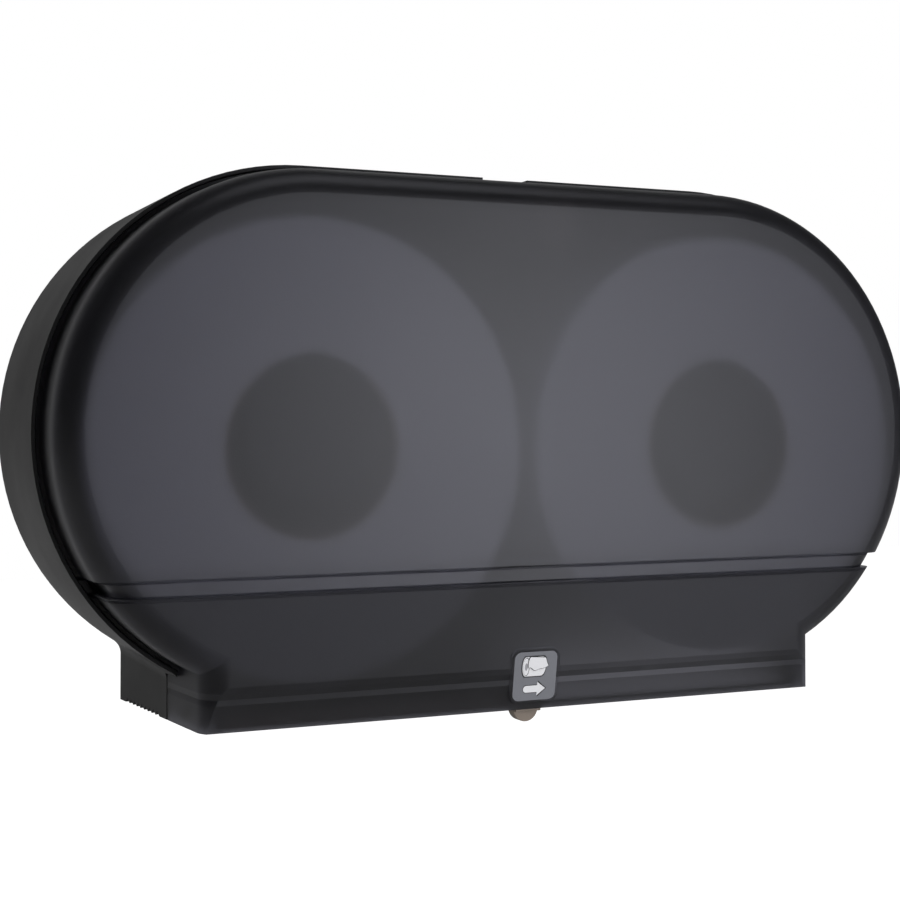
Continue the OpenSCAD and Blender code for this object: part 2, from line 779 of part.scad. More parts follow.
module latch_bracket() {
    left_x = latch_x - latch_w / 2 - guide_gap;
    right_x = latch_x + latch_w / 2 + guide_gap;
    back_near = latch_near - guide_gap - bracket_t;
    color(shell_black) difference() {
        union() {
            block(left_x - cheek_t, right_x + cheek_t, latch_boss_depth - 8,
                back_near + 1, bracket_top - bracket_t, bracket_top);
            block(left_x - cheek_t, right_x + cheek_t, back_near, back_near + bracket_t,
                latch_floor - bracket_t, bracket_top);
            block(right_x, right_x + cheek_t, back_near, latch_far,
                latch_floor - bracket_t, strike_low - 1);
            // the left cheek ends below the pressed arm
            block(left_x - cheek_t, left_x, back_near, latch_far,
                latch_floor - bracket_t, arm_low - latch_travel - gap);
            block(left_x - cheek_t, right_x + cheek_t, back_near, latch_far,
                latch_floor - bracket_t, latch_floor);
            // gussets under the top plate
            for (x = [left_x - cheek_t, right_x + cheek_t - 2])
                along_x(x, x + 2) polygon([[-back_near - 0.5, latch_floor],
                    [-back_near - 0.5, bracket_top - 1],
                    [-(latch_boss_depth + latch_boss_r + 3), bracket_top - 1]]);
            translate([latch_x, -(latch_near + latch_far) / 2, latch_floor - 1])
                cylinder(r = spring_r - wire_r - 0.3, h = 3);
        }
        for (x = latch_boss_spots) translate([x, -latch_boss_depth, bracket_top - bracket_t - slack])
            cylinder(r = small_screw_r + screw_gap, h = bracket_t + 2 * slack);
    }
}

module latch_screws() {
    color(steel) for (x = latch_boss_spots)
        translate([x, -latch_boss_depth, bracket_top - bracket_t]) {
            translate([0, 0, -0.5]) cylinder(r = small_screw_r, h = bracket_t + latch_boss_drop - 0.5);
            difference() {
                translate([0, 0, -small_head_h]) cylinder(r = small_head_r, h = small_head_h);
                for (a = [0, 90]) rotate([0, 0, a])
                    translate([-2, -0.5, -small_head_h - slack]) cube([4, 1, slack + 1]);
            }
        }
}

module latch_slide() {
    half = latch_w / 2;
    tip = latch_tip_w / 2;
    color(beige) difference() {
        union() {
            upright(latch_near, latch_far) polygon([
                [latch_x - tip, latch_low], [latch_x + tip, latch_low],
                [latch_x + half, latch_shoulder], [latch_x + half, strike_low - 0.4],
                [latch_x - half, strike_low - 0.4], [latch_x - half, latch_shoulder]]);
            // the nose in front of the strike, with its lead-in ramp
            along_x(latch_x - half, latch_x + half) polygon([
                [-nose_near, strike_low - 1], [-nose_near, nose_top],
                [-nose_near - 1, nose_top], [-latch_far, strike_low - 1]]);
            // the arm that the key presses, under the notch
            block(arm_left, latch_x - half + 1, latch_near + 0.6, latch_far - 3,
                arm_low, arm_low + arm_h);
            block(arm_left, latch_x - half - guide_gap - cheek_t - 1, latch_near - arm_reach,
                latch_far - 3, arm_low, arm_low + arm_h);
        }
        translate([latch_x, -(latch_near + latch_far) / 2, latch_low - slack])
            cylinder(r = spring_pocket_r, h = spring_top - latch_low + slack);
    }
}

// a coil spring: rings of points along a helix, joined side by side
spring_turns = 6;
ring_sides = 6;
rings_per_turn = 14;
spring_rings = spring_turns * rings_per_turn;
spring_low = latch_floor + gap;
spring_rise = spring_top - spring_low - gap - 2 * wire_r;
function spring_ring(i) = let (
        a = 360 * i / rings_per_turn,
        z = spring_low + wire_r + spring_rise * i / spring_rings)
    [for (k = [0 : ring_sides - 1]) let (b = 360 * k / ring_sides)
        [(spring_r + wire_r * cos(b)) * cos(a), (spring_r + wire_r * cos(b)) * sin(a),
            z + wire_r * sin(b)]];
module latch_spring() {
    points = [for (i = [0 : spring_rings]) each spring_ring(i)];
    last = spring_rings * ring_sides;
    color(steel) translate([latch_x, -(latch_near + latch_far) / 2, 0]) polyhedron(points, concat(
        [[for (k = [0 : ring_sides - 1]) k]],
        [for (i = [0 : spring_rings - 1], k = [0 : ring_sides - 1], t = [0, 1]) let (
                a = i * ring_sides + k,
                b = i * ring_sides + (k + 1) % ring_sides)
            t == 0 ? [a, a + ring_sides, b] : [b, a + ring_sides, b + ring_sides]],
        [[for (k = [ring_sides - 1 : -1 : 0]) last + k]]));
}

back_shell();
front_cover();
mirror([1, 0, 0]) hinge_pin();  // hinge_pin_left
hinge_pin();  // hinge_pin_right
exit_frame();
frame_screws();
slide_door();
latch_bracket();
latch_screws();
latch_slide();
latch_spring();
left() color(shell_black) spindle();  // spindle_left
right() color(shell_black) spindle();  // spindle_right
left() color(shell_black) spindle_cap();  // spindle_cap_left
right() color(shell_black) spindle_cap();  // spindle_cap_right
left() color(steel) spindle_screws();  // spindle_screws_left
right() color(steel) spindle_screws();  // spindle_screws_right
left() roll_core();  // roll_core_left
right() roll_core();  // roll_core_right
left() paper_roll();  // paper_roll_left
right() paper_roll();  // paper_roll_right
instruction_label();
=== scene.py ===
import math

import bmesh
import bpy
from mathutils import Matrix, Vector


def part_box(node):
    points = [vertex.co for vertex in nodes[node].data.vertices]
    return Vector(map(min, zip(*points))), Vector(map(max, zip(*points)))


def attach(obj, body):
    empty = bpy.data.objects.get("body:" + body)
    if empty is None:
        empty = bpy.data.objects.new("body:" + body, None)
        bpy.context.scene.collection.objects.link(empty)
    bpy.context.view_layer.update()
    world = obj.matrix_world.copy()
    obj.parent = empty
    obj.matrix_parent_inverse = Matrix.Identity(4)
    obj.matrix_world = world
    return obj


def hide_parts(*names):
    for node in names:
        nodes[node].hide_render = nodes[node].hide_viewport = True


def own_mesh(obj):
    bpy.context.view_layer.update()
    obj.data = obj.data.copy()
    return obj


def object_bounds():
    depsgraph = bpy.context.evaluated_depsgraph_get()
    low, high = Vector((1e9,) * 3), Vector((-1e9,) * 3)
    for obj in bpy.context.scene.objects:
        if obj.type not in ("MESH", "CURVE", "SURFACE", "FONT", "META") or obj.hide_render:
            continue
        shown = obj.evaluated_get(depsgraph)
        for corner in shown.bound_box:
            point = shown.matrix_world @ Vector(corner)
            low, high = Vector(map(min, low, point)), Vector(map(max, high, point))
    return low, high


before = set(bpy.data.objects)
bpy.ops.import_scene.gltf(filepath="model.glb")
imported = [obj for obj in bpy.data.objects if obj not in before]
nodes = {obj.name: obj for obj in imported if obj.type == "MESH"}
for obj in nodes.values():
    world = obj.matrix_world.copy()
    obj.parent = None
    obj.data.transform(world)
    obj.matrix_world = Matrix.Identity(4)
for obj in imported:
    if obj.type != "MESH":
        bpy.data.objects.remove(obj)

# Twin jumbo toilet roll dispenser: black wall case, smoked drop-down cover, two rolls.
# Everything is in metres in the CAD frame: X along the wall, Y into it, Z up.

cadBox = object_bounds()
scene = bpy.context.scene
scene.view_settings.view_transform = "Standard"

camera = {
    "spot": (-0.4063, -0.8881, 0.0034),
    "turn": 0.4383,      # to the right of straight at the wall, in radians
    "lift": 0.0228,      # upward, in radians
    "lens": 68.908,      # with a sensor 36 mm wide
    "shift": -0.0772,
}


def makeCamera(c):
    data = bpy.data.cameras.new("photoCamera")
    data.sensor_width = 36.0
    data.lens = c["lens"]
    data.shift_y = c["shift"]
    data.clip_start = 0.01
    data.clip_end = 50
    cam = bpy.data.objects.new("photoCamera", data)
    scene.collection.objects.link(cam)
    look = Vector((math.sin(c["turn"]) * math.cos(c["lift"]),
                   math.cos(c["turn"]) * math.cos(c["lift"]),
                   math.sin(c["lift"])))
    cam.location = c["spot"]
    cam.rotation_euler = look.to_track_quat("-Z", "Y").to_euler()
    scene.camera = cam


makeCamera(camera)
print("camera ready")


def mathNode(tree, operation, a, b=None, clamp=False):
    node = tree.nodes.new("ShaderNodeMath")
    node.operation = operation
    node.use_clamp = clamp
    for index, value in enumerate((a, b)):
        if value is None:
            continue
        if isinstance(value, (int, float)):
            node.inputs[index].default_value = value
        else:
            tree.links.new(value, node.inputs[index])
    return node.outputs[0]


def mapNode(tree, value, span, levels=(0.0, 1.0), smooth=True):
    node = tree.nodes.new("ShaderNodeMapRange")
    if smooth:
        node.interpolation_type = "SMOOTHSTEP"
    for label, number in zip(("From Min", "From Max", "To Min", "To Max"), span + levels):
        node.inputs[label].default_value = number
    tree.links.new(value, node.inputs["Value"])
    return node.outputs["Result"]


def splitNode(tree, vector):
    node = tree.nodes.new("ShaderNodeSeparateXYZ")
    tree.links.new(vector, node.inputs[0])
    return node.outputs


room = {
    "roomLevel": 0.05,            # the dark room in front, as gloss shows it
    "backdropLevel": 0.30,        # the backdrop behind, as gloss shows it
    "backdropSpan": (0.1, 0.8),   # it fades in over these values of a direction's Y
    "fillLevels": (0.12, 1.15),   # soft light from behind left, and from the front right
    "fillSpan": (-0.7, 1.1),
    "fillSide": 0.6,              # how much right counts against front
}


# white where the camera looks past the object or through its cover, dark in front
def makeRoom(r):
    world = bpy.data.worlds.new("studioWorld")
    scene.world = world
    world.use_nodes = True
    tree = world.node_tree
    tree.nodes.clear()
    out = tree.nodes.new("ShaderNodeOutputWorld")
    back = tree.nodes.new("ShaderNodeBackground")
    back.inputs["Color"].default_value = (1, 1, 1, 1)
    rays = tree.nodes.new("ShaderNodeLightPath").outputs
    way = splitNode(tree, tree.nodes.new("ShaderNodeTexCoord").outputs["Generated"])
    # a ray that has left a dull surface brings light to it, and isn't the camera's
    lit = mathNode(tree, "GREATER_THAN", rays["Diffuse Depth"], 0.5)
    behind = mathNode(tree, "MULTIPLY", mapNode(tree, way["Y"], r["backdropSpan"]),
                      mathNode(tree, "SUBTRACT", 1.0, lit))
    through = mathNode(tree, "MULTIPLY", rays["Is Transmission Ray"], behind)
    mirrored = mathNode(tree, "MULTIPLY", rays["Is Glossy Ray"],
                        mathNode(tree, "MULTIPLY", behind, r["backdropLevel"]))
    seen = mathNode(tree, "MAXIMUM", rays["Is Camera Ray"],
                    mathNode(tree, "MAXIMUM", through, mirrored))
    side = mathNode(tree, "SUBTRACT", mathNode(tree, "MULTIPLY", way["X"], r["fillSide"]), way["Y"])
    fill = mapNode(tree, side, r["fillSpan"], r["fillLevels"], smooth=False)
    level = mathNode(tree, "MAXIMUM", mathNode(tree, "MULTIPLY", lit, fill), r["roomLevel"])
    tree.links.new(mathNode(tree, "MAXIMUM", seen, level), back.inputs["Strength"])
    tree.links.new(back.outputs[0], out.inputs[0])


makeRoom(room)

lamps = {
    "colour": (0.91, 0.92, 1.0),
    "boxes": [
        # name, place, target, size in X and Y, power in watts
        ("frontSoftbox", (0.98, -2.05, 0.05), (0.02, -0.1, 0.0), (0.80, 0.8), 10.5),
        ("highSoftbox", (0.5, -1.0, 2.2), (0.0, -0.1, 0.0), (1.8, 1.4), 8.0),
    ],
}


def hangLamps(kit):
    for name, place, target, size, power in kit["boxes"]:
        lamp = bpy.data.lights.new(name, "AREA")
        lamp.shape = "RECTANGLE"
        lamp.size, lamp.size_y = size
        lamp.energy = power
        lamp.color = kit["colour"]
        holder = bpy.data.objects.new(name, lamp)
        holder.location = place
        holder.rotation_euler = (Vector(target) - Vector(place)).to_track_quat("-Z", "Y").to_euler()
        scene.collection.objects.link(holder)


hangLamps(lamps)

studioFloor = {
    "colour": 0.32,
    "roughness": 0.9,
    "glow": 0.92,       # added where the camera looks at it
    "mirrored": 0.20,   # share of that glow in reflections
    "drop": 0.30,       # under the object
    "reach": 4.0,
}


def layFloor(f):
    bm = bmesh.new()
    bmesh.ops.create_grid(bm, x_segments=2, y_segments=2, size=f["reach"])
    bmesh.ops.translate(bm, verts=bm.verts, vec=(0, 0, cadBox[0].z - f["drop"]))
    mesh = bpy.data.meshes.new("studioFloor")
    bm.to_mesh(mesh)
    bm.free()
    floor = bpy.data.objects.new("studioFloor", mesh)
    scene.collection.objects.link(floor)
    mat = bpy.data.materials.new("paleFloor")
    mat.use_nodes = True
    tree = mat.node_tree
    shader = tree.nodes["Principled BSDF"]
    shader.inputs["Base Color"].default_value = (f["colour"],) * 3 + (1,)
    shader.inputs["Roughness"].default_value = f["roughness"]
    shader.inputs["Emission Color"].default_value = (1, 1, 1, 1)
    rays = tree.nodes.new("ShaderNodeLightPath").outputs
    looked = mathNode(tree, "MAXIMUM", rays["Is Camera Ray"], rays["Is Transmission Ray"])
    mirrored = mathNode(tree, "MULTIPLY", rays["Is Glossy Ray"], f["mirrored"])
    seen = mathNode(tree, "MAXIMUM", looked, mirrored)
    tree.links.new(mathNode(tree, "MULTIPLY", seen, f["glow"]), shader.inputs["Emission Strength"])
    mesh.materials.append(mat)


layFloor(studioFloor)
print("studio ready")


def newGroup(name, inputs, outputs):
    tree = bpy.data.node_groups.new(name, "ShaderNodeTree")
    for label, kind, value in inputs:
        socket = tree.interface.new_socket(label, in_out="INPUT", socket_type=kind)
        if value is not None:
            socket.default_value = value
    for label, kind in outputs:
        tree.interface.new_socket(label, in_out="OUTPUT", socket_type=kind)
    given = tree.nodes.new("NodeGroupInput").outputs
    made = tree.nodes.new("NodeGroupOutput").inputs
    return tree, given, made


def noiseNode(tree, vector, scale, detail=3.0, roughness=0.5):
    node = tree.nodes.new("ShaderNodeTexNoise")
    node.inputs["Detail"].default_value = detail
    node.inputs["Roughness"].default_value = roughness
    if isinstance(scale, (int, float)):
        node.inputs["Scale"].default_value = scale
    else:
        tree.links.new(scale, node.inputs["Scale"])
    tree.links.new(vector, node.inputs["Vector"])
    return node.outputs["Fac"]


def mixColour(tree, factor, a, b):
    node = tree.nodes.new("ShaderNodeMix")
    node.data_type = "RGBA"
    tree.links.new(factor, node.inputs["Factor"])
    for socket, value in ((node.inputs["A"], a), (node.inputs["B"], b)):
        if isinstance(value, tuple):
            socket.default_value = value
        else:
            tree.links.new(value, socket)
    return node.outputs["Result"]


# fine spark-eroded texture with slow tonal drift
def makeMouldGrain(speckShare=0.12):
    tree, given, made = newGroup(
        "mouldGrain",
        [("Vector", "NodeSocketVector", None), ("Grain Scale", "NodeSocketFloat", 900.0),
         ("Drift Scale", "NodeSocketFloat", 9.0), ("Drift", "NodeSocketFloat", 0.3)],
        [("Height", "NodeSocketFloat"), ("Tone", "NodeSocketFloat")])
    fine = noiseNode(tree, given["Vector"], given["Grain Scale"], 2.0)
    slow = noiseNode(tree, given["Vector"], given["Drift Scale"], 4.0, 0.6)
    drift = mathNode(tree, "MULTIPLY", mathNode(tree, "SUBTRACT", slow, 0.5), given["Drift"])
    speck = mathNode(tree, "MULTIPLY", mathNode(tree, "SUBTRACT", fine, 0.5), speckShare)
    tree.links.new(fine, made["Height"])
    tree.links.new(mathNode(tree, "ADD", drift, speck), made["Tone"])
    return tree


wearPattern = {"gain": 5.0, "patches": 260.0, "samples": 4}


# where a rounded edge would catch the light and rub bare
def makeEdgeWear(w):
    tree, given, made = newGroup(
        "edgeWear",
        [("Vector", "NodeSocketVector", None), ("Width", "NodeSocketFloat", 0.0006)],
        [("Normal", "NodeSocketVector"), ("Edge", "NodeSocketFloat")])
    soft = tree.nodes.new("ShaderNodeBevel")
    soft.samples = w["samples"]
    tree.links.new(given["Width"], soft.inputs["Radius"])
    geometry = tree.nodes.new("ShaderNodeNewGeometry")
    dot = tree.nodes.new("ShaderNodeVectorMath")
    dot.operation = "DOT_PRODUCT"
    tree.links.new(soft.outputs["Normal"], dot.inputs[0])
    tree.links.new(geometry.outputs["Normal"], dot.inputs[1])
    away = mathNode(tree, "SUBTRACT", 1.0, dot.outputs["Value"], clamp=True)
    broken = noiseNode(tree, given["Vector"], w["patches"], 4.0, 0.65)
    strong = mathNode(tree, "MULTIPLY", away, w["gain"], clamp=True)
    tree.links.new(soft.outputs["Normal"], made["Normal"])
    tree.links.new(mathNode(tree, "MULTIPLY", strong, broken, clamp=True), made["Edge"])
    return tree


dustPattern = {"upFrom": 0.55, "gain": 2.2, "patches": 34.0}


# a thin film on what faces up
def makeDust(d):
    tree, given, made = newGroup(
        "settledDust",
        [("Vector", "NodeSocketVector", None), ("Amount", "NodeSocketFloat", 0.2)],
        [("Mask", "NodeSocketFloat")])
    facing = splitNode(tree, tree.nodes.new("ShaderNodeNewGeometry").outputs["Normal"])
    raised = mathNode(tree, "SUBTRACT", facing["Z"], d["upFrom"], clamp=True)
    up = mathNode(tree, "MULTIPLY", raised, d["gain"], clamp=True)
    patch = noiseNode(tree, given["Vector"], d["patches"], 6.0, 0.7)
    film = mathNode(tree, "MULTIPLY", up, patch)
    tree.links.new(mathNode(tree, "MULTIPLY", film, given["Amount"], clamp=True), made["Mask"])
    return tree


mouldGrain = makeMouldGrain()
edgeWear = makeEdgeWear(wearPattern)
settledDust = makeDust(dustPattern)


def startMaterial(name):
    mat = bpy.data.materials.new(name)
    mat.use_nodes = True
    tree = mat.node_tree
    shader = tree.nodes["Principled BSDF"]
    place = tree.nodes.new("ShaderNodeTexCoord")
    return mat, tree, shader.inputs, place.outputs["Object"]


def useGroup(tree, group, vector, **values):
    node = tree.nodes.new("ShaderNodeGroup")
    node.node_tree = group
    tree.links.new(vector, node.inputs["Vector"])
    for key, value in values.items():
        node.inputs[key.replace("_", " ")].default_value = value
    return node.outputs


def bumpNode(tree, height, strength, distance, normal=None):
    node = tree.nodes.new("ShaderNodeBump")
    node.inputs["Strength"].default_value = strength
    node.inputs["Distance"].default_value = distance
    tree.links.new(height, node.inputs["Height"])
    if normal is not None:
        tree.links.new(normal, node.inputs["Normal"])
    return node.outputs["Normal"]


def rgba(colour, factor=1.0):
    return tuple(min(1.0, c * factor) for c in colour) + (1.0,)


# a value times an amount, plus a base
def scaled(tree, value, amount, base, clamp=False):
    return mathNode(tree, "ADD", mathNode(tree, "MULTIPLY", value, amount), base, clamp=clamp)


finish = {}

# what all the moulded plastics share
moulding = {"dustColour": (0.32, 0.31, 0.30), "toneRough": 0.35, "dustRough": 0.4, "grainDepth": 0.0002}

plastics = {
    "caseBlack": {
        "colour": (0.012, 0.012, 0.0125), "vary": 0.25,
        "wornColour": (0.05, 0.05, 0.052), "wear": 0.5,
        "drift": 0.9, "grainScale": 1500.0, "bump": 0.35, "edge": 0.0007, "dust": 0.10,
        "roughness": 0.42, "specular": 0.2,
    },
    "innerBlack": {
        "colour": (0.014, 0.014, 0.015), "vary": 0.2,
        "wornColour": (0.05, 0.05, 0.052), "wear": 0.35,
        "drift": 0.7, "grainScale": 1900.0, "bump": 0.25, "edge": 0.0005, "dust": 0.16,
        "roughness": 0.5, "specular": 0.45,
    },
    "doorBeige": {
        "colour": (0.30, 0.245, 0.195), "vary": 0.10,
        "wornColour": (0.42, 0.36, 0.30), "wear": 0.5,
        "drift": 0.6, "grainScale": 1700.0, "bump": 0.25, "edge": 0.0006, "dust": 0.12,
        "roughness": 0.48, "specular": 0.4,
    },
    "latchBeige": {
        "colour": (0.22, 0.185, 0.15), "vary": 0.10,
        "wornColour": (0.36, 0.31, 0.26), "wear": 0.6,
        "drift": 0.6, "grainScale": 1700.0, "bump": 0.2, "edge": 0.0005, "dust": 0.12,
        "roughness": 0.42, "specular": 0.4,
    },
}


# moulded plastic with grain, soft edges, edge wear and dust
def makePlastic(name, p, m):
    mat, tree, shader, vector = startMaterial(name)
    grain = useGroup(tree, mouldGrain, vector, Grain_Scale=p["grainScale"], Drift=p["drift"])
    edges = useGroup(tree, edgeWear, vector, Width=p["edge"])
    dust = useGroup(tree, settledDust, vector, Amount=p["dust"])
    tone = mathNode(tree, "ADD", grain["Tone"], 0.5, clamp=True)
    plain = mixColour(tree, tone, rgba(p["colour"], 1 - p["vary"]), rgba(p["colour"], 1 + p["vary"]))
    rubbed = mathNode(tree, "MULTIPLY", edges["Edge"], p["wear"])
    worn = mixColour(tree, rubbed, plain, rgba(p["wornColour"]))
    tree.links.new(mixColour(tree, dust["Mask"], worn, rgba(m["dustColour"])), shader["Base Color"])
    rough = scaled(tree, grain["Tone"], m["toneRough"], p["roughness"], clamp=True)
    dull = mathNode(tree, "MULTIPLY", dust["Mask"], m["dustRough"])
    tree.links.new(mathNode(tree, "ADD", rough, dull, clamp=True), shader["Roughness"])
    tree.links.new(bumpNode(tree, grain["Height"], p["bump"], m["grainDepth"], edges["Normal"]),
                   shader["Normal"])
    shader["Specular IOR Level"].default_value = p["specular"]
    return mat


for plasticName, plastic in plastics.items():
    finish[plasticName] = makePlastic(plasticName, plastic, moulding)

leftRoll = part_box("paper_roll_left")
rollHeight = (leftRoll[0].z + leftRoll[1].z) / 2
rollX = (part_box("paper_roll_right")[0].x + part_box("paper_roll_right")[1].x) / 2

smoke = {
    "tint": (0.256, 0.256, 0.290), "vary": 0.05, "drift": 0.5, "driftScale": 6.0,
    "clear": 0.99, "specular": 0.15, "bend": 1.45,
    "roughness": 0.34, "toneRough": 0.12, "frost": 0.45,   # the frost is on the inner side
    "grainScale": 1400.0, "bump": 0.35, "grainDepth": 0.0001, "edge": 0.0008,
    "shadowPass": 0.45,   # share of the lamps' light that goes through
    # the belt under the groove: painted shade in its tint, and rougher
    "beltTop": -0.0782, "beltShadeTint": (0.150, 0.150, 0.172), "beltRough": 0.15,
    # painted shade on the rounded rim: distance from the middle of a round end, and the height where the
    # rim stops closing in
    "rimSpan": (0.106, 0.119), "rimLow": -0.095, "rimShadeTint": (0.10, 0.10, 0.115),
    # height of a line, half its width, share of the depth
    "lines": [(-0.0706, 0.0010, 1.0), (-0.0786, 0.0013, 1.0), (-0.1262, 0.0028, 0.6)],
    "lineDepth": 0.0022,
}


# frosted smoke-tinted cover: light goes through it, blurred
def makeSmoked(p):
    mat, tree, shader, vector = startMaterial("smokedCover")
    grain = useGroup(tree, mouldGrain, vector, Grain_Scale=p["grainScale"],
                     Drift_Scale=p["driftScale"], Drift=p["drift"])
    edges = useGroup(tree, edgeWear, vector, Width=p["edge"])
    spot = splitNode(tree, vector)
    tone = mathNode(tree, "ADD", grain["Tone"], 0.5, clamp=True)
    tint = mixColour(tree, tone, rgba(p["tint"], 1 - p["vary"]), rgba(p["tint"], 1 + p["vary"]))
    # painted shade: the belt under the groove is tinted darker than the rest of the cover
    under = mathNode(tree, "LESS_THAN", spot["Z"], p["beltTop"])
    beltShaded = mixColour(tree, under, tint, rgba(p["beltShadeTint"]))
    # painted shade: the rounded rim is tinted darker too
    past = mathNode(tree, "SUBTRACT", mathNode(tree, "ABSOLUTE", spot["X"]), rollX)
    out = mathNode(tree, "MAXIMUM", past, 0.0)
    rise = mathNode(tree, "MAXIMUM", spot["Z"], p["rimLow"])
    reach = mathNode(tree, "SQRT", mathNode(tree, "ADD", mathNode(tree, "MULTIPLY", out, out),
                                            mathNode(tree, "MULTIPLY", rise, rise)))
    rim = mapNode(tree, reach, p["rimSpan"])
    tree.links.new(mixColour(tree, rim, beltShaded, rgba(p["rimShadeTint"])), shader["Base Color"])
    geometry = tree.nodes.new("ShaderNodeNewGeometry")
    frost = mathNode(tree, "MULTIPLY", geometry.outputs["Backfacing"], p["frost"])
    rough = scaled(tree, grain["Tone"], p["toneRough"], p["roughness"], clamp=True)
    rough = mathNode(tree, "ADD", rough, mathNode(tree, "MULTIPLY", under, p["beltRough"]))
    tree.links.new(mathNode(tree, "ADD", rough, frost, clamp=True), shader["Roughness"])
    # sharp moulded lines along the groove and a soft one along the crease
    lines = None
    for height, half, share in p["lines"]:
        off = mathNode(tree, "ABSOLUTE", mathNode(tree, "SUBTRACT", spot["Z"], height))
        near = mathNode(tree, "SUBTRACT", 1.0, mathNode(tree, "DIVIDE", off, half), clamp=True)
        dip = mathNode(tree, "MULTIPLY", near, share)
        lines = dip if lines is None else mathNode(tree, "MAXIMUM", lines, dip)
    cut = bumpNode(tree, mathNode(tree, "MULTIPLY", lines, -1.0), 1.0, p["lineDepth"], edges["Normal"])
    tree.links.new(bumpNode(tree, grain["Height"], p["bump"], p["grainDepth"], cut), shader["Normal"])
    shader["Transmission Weight"].default_value = p["clear"]
    shader["IOR"].default_value = p["bend"]
    shader["Specular IOR Level"].default_value = p["specular"]
    rays = tree.nodes.new("ShaderNodeLightPath")
    passed = mathNode(tree, "MULTIPLY", rays.outputs["Is Shadow Ray"], p["shadowPass"])
    tree.links.new(mathNode(tree, "SUBTRACT", 1.0, passed), shader["Alpha"])
    return mat


finish["smoke"] = makeSmoked(smoke)

tissue = {
    "colour": (0.80, 0.80, 0.785), "shade": (0.60, 0.60, 0.585), "sheen": 0.25, "specular": 0.2,
    "turns": 5200.0,      # radians of the wound rings for each metre of radius
    "wobble": 22.0, "wobbleTurns": 3.0, "bands": 190.0, "ringShare": 0.6,
    "dotPitch": 900.0,    # radians of the quilting for each metre across
    "dotsRound": 110.0,   # and quilted dots round the roll
    "fluff": 1300.0, "fluffShare": 0.4, "bump": 0.35, "depth": 0.0004,
    "roughness": 0.86, "fluffRough": 0.1,
}


# wound tissue: turns on the ends, quilted dots round the outside
def makeTissue(name, centre, p):
    mat, tree, shader, vector = startMaterial(name)
    move = tree.nodes.new("ShaderNodeMapping")
    move.vector_type = "POINT"
    move.inputs["Location"].default_value = [-c for c in centre]
    tree.links.new(vector, move.inputs["Vector"])
    spot = splitNode(tree, move.outputs[0])
    flat = tree.nodes.new("ShaderNodeCombineXYZ")
    tree.links.new(spot["X"], flat.inputs["X"])
    tree.links.new(spot["Z"], flat.inputs["Y"])
    distance = tree.nodes.new("ShaderNodeVectorMath")
    distance.operation = "LENGTH"
    tree.links.new(flat.outputs[0], distance.inputs[0])
    radius = distance.outputs["Value"]
    wobble = noiseNode(tree, move.outputs[0], p["wobble"], 3.0)
    turns = mathNode(tree, "ADD", mathNode(tree, "MULTIPLY", radius, p["turns"]),
                     mathNode(tree, "MULTIPLY", wobble, p["wobbleTurns"]))
    wound = scaled(tree, mathNode(tree, "SINE", turns), 0.5, 0.5)
    ring = tree.nodes.new("ShaderNodeCombineXYZ")
    tree.links.new(radius, ring.inputs["X"])
    bands = noiseNode(tree, ring.outputs[0], p["bands"], 3.0, 0.6)
    angle = mathNode(tree, "ARCTAN2", spot["Z"], spot["X"])
    across = mathNode(tree, "SINE", mathNode(tree, "MULTIPLY", spot["Y"], p["dotPitch"]))
    around = mathNode(tree, "SINE", mathNode(tree, "MULTIPLY", angle, p["dotsRound"]))
    facing = splitNode(tree, tree.nodes.new("ShaderNodeNewGeometry").outputs["Normal"])
    onEnd = mathNode(tree, "GREATER_THAN", mathNode(tree, "ABSOLUTE", facing["Y"]), 0.5)
    pick = tree.nodes.new("ShaderNodeMix")
    tree.links.new(onEnd, pick.inputs["Factor"])
    tree.links.new(mathNode(tree, "MULTIPLY", across, around), pick.inputs["A"])
    tree.links.new(scaled(tree, wound, p["ringShare"], bands), pick.inputs["B"])
    fluff = noiseNode(tree, vector, p["fluff"], 3.0, 0.7)
    height = scaled(tree, fluff, p["fluffShare"], pick.outputs["Result"])
    shade = mathNode(tree, "MULTIPLY", onEnd, mathNode(tree, "MULTIPLY", bands, wound), clamp=True)
    tree.links.new(mixColour(tree, shade, rgba(p["colour"]), rgba(p["shade"])), shader["Base Color"])
    tree.links.new(scaled(tree, fluff, p["fluffRough"], p["roughness"], clamp=True), shader["Roughness"])
    tree.links.new(bumpNode(tree, height, p["bump"], p["depth"]), shader["Normal"])
    shader["Sheen Weight"].default_value = p["sheen"]
    shader["Specular IOR Level"].default_value = p["specular"]
    return mat


finish["tissueLeft"] = makeTissue("tissueLeft", (-rollX, 0, rollHeight), tissue)
finish["tissueRight"] = makeTissue("tissueRight", (rollX, 0, rollHeight), tissue)

cardboard = {
    "dark": (0.20, 0.135, 0.085), "light": (0.42, 0.32, 0.22), "fleck": (0.30, 0.24, 0.18),
    "stretch": (1.0, 0.25, 1.0), "lean": 0.35, "fibres": 420.0, "flecks": 90.0, "fleckShare": 0.4,
    "roughness": 0.75, "fleckRough": 0.15, "specular": 0.25, "bump": 0.4, "depth": 0.0003,
}


